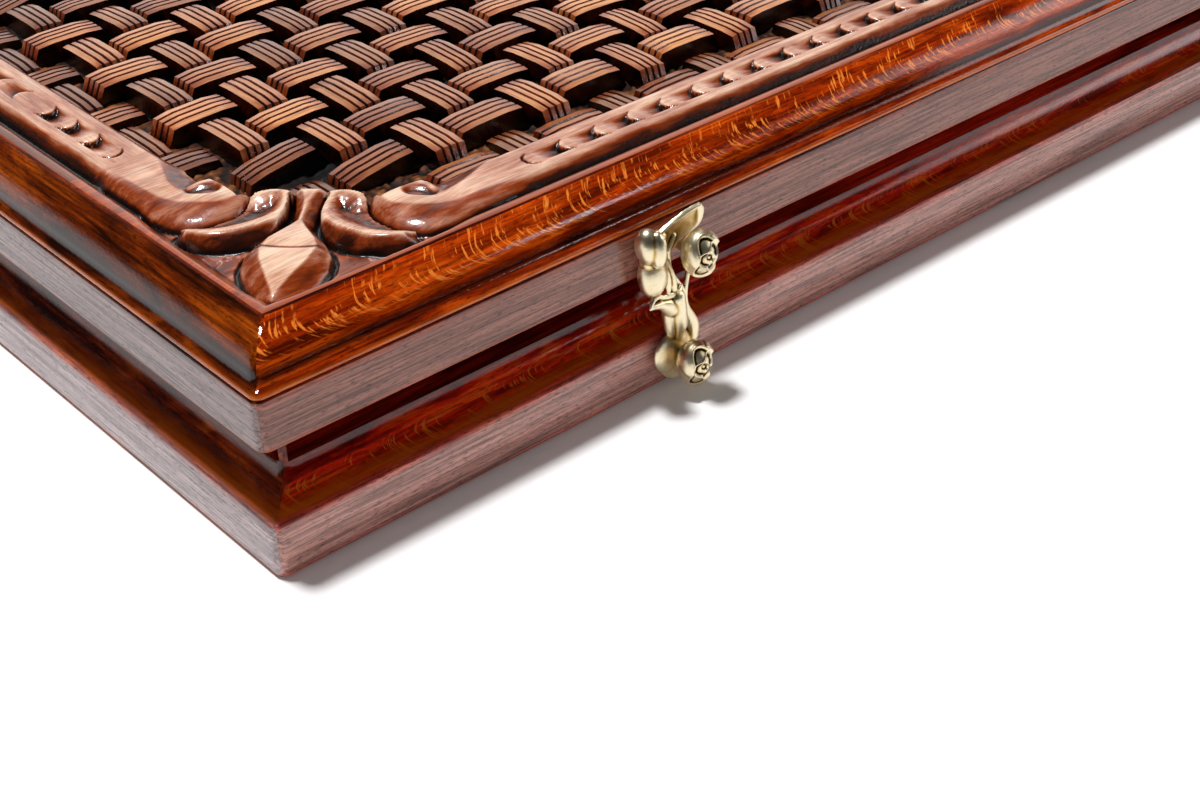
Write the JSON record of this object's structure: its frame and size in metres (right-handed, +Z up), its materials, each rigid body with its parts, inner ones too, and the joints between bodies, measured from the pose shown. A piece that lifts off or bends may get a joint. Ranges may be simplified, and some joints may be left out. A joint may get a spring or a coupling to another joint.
{
  "type": "folding backgammon board",
  "caption": "Folding wooden backgammon case: moulded base and carved basket-weave lid on brass butt hinges, closed by hook clasps, with inlaid playing points inside.",
  "frame": {"origin": "middle of the base's flat underside, where the closed case rests", "axes": "+Z up; +X along the clasp face, to the right seen from the front; +Y towards the hinges"},
  "size_m": [0.6, 0.3164, 0.0662],
  "materials": {
    "frame_wood": "red-brown stain under gloss lacquer",
    "carved_wood": "carved, red-brown stain, sanded crests, gloss lacquer",
    "panel_wood": "stained, satin lacquer",
    "field_wood": "satin lacquer",
    "light_veneer": "satin lacquered maple veneer",
    "dark_veneer": "satin lacquered dark veneer",
    "light_checker_wood": "polished",
    "dark_checker_wood": "polished",
    "dice_plastic": "polished cream",
    "clasp_brass": "antiqued cast brass",
    "hinge_brass": "brushed brass"
  },
  "bodies": {
    "base": {"base_front_rail": "frame_wood", "base_back_rail": "frame_wood", "base_left_rail": "frame_wood", "base_right_rail": "frame_wood", "base_bottom_panel": "panel_wood", "base_field_panel": "field_wood", "base_light_points": "light_veneer", "base_dark_points": "dark_veneer", "left_hinge_base_leaf": "hinge_brass", "right_hinge_base_leaf": "hinge_brass", "left_hinge_pin": "hinge_brass", "right_hinge_pin": "hinge_brass", "hinge_screws_base": "hinge_brass", "left_pivot_stud": "clasp_brass", "right_pivot_stud": "clasp_brass", "light_checkers": "light_checker_wood", "dark_checkers": "dark_checker_wood", "dice": "dice_plastic"},
    "lid": {"lid_front_rail": "frame_wood", "lid_back_rail": "frame_wood", "lid_left_rail": "frame_wood", "lid_right_rail": "frame_wood", "lid_carved_board": "carved_wood", "lid_field_panel": "field_wood", "lid_light_points": "light_veneer", "lid_dark_points": "dark_veneer", "left_hinge_lid_leaf": "hinge_brass", "right_hinge_lid_leaf": "hinge_brass", "hinge_screws_lid": "hinge_brass", "left_catch_stud": "clasp_brass", "right_catch_stud": "clasp_brass"},
    "left_hook": {"left_hook": "clasp_brass"},
    "right_hook": {"right_hook": "clasp_brass"}
  },
  "joints": [
    {"name": "lid_hinge", "type": "hinge", "parent": "base", "child": "lid", "pos_m": [0, 0.15015, 0.0335], "axis": [-1, 0, 0], "range_deg": [0, 180]},
    {"name": "left_hook_pivot", "type": "hinge", "parent": "base", "child": "left_hook", "pos_m": [-0.1716, -0.15, 0.0093], "axis": [0, -1, 0], "range_deg": [0, 75]},
    {"name": "right_hook_pivot", "type": "hinge", "parent": "base", "child": "right_hook", "pos_m": [0.1716, -0.15, 0.0093], "axis": [0, -1, 0], "range_deg": [0, 75]}
  ]
}
